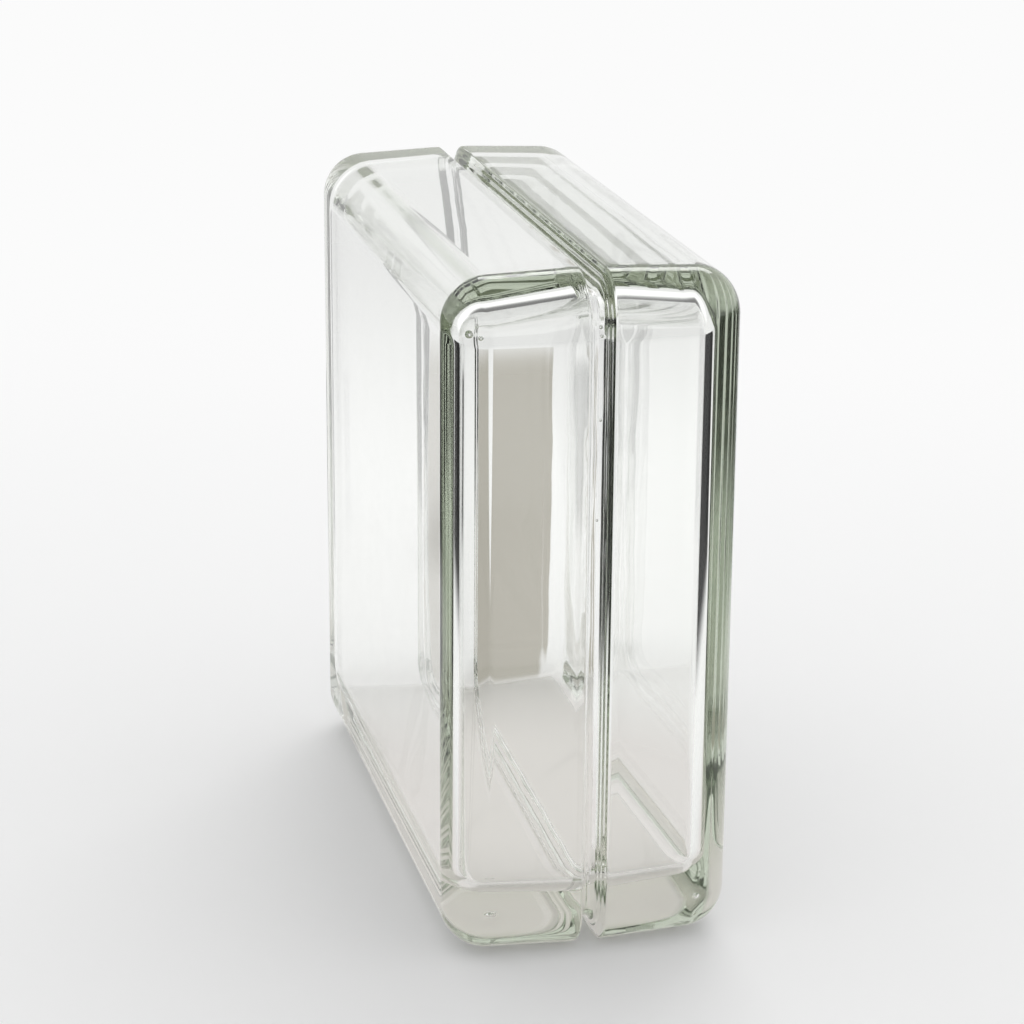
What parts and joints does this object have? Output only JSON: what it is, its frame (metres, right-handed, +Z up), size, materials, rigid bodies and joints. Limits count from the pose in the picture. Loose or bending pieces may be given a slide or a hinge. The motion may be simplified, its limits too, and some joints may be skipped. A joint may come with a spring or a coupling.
{
  "type": "glass block",
  "caption": "Square hollow glass building block of two pressed clear half shells fused at a groove that runs round the narrow sides.",
  "frame": {"origin": "middle of the narrow side that the block stands on, in the plane of the fused seam", "axes": "+X across the thickness, towards one big face, with the seam at X = 0; +Y along the depth; +Z up"},
  "size_m": [0.08, 0.19, 0.19],
  "materials": {
    "clear_glass": "smooth, clear, with a faint green in the edges"
  },
  "bodies": {
    "root": {"left_half": "clear_glass", "right_half": "clear_glass"}
  },
  "joints": []
}
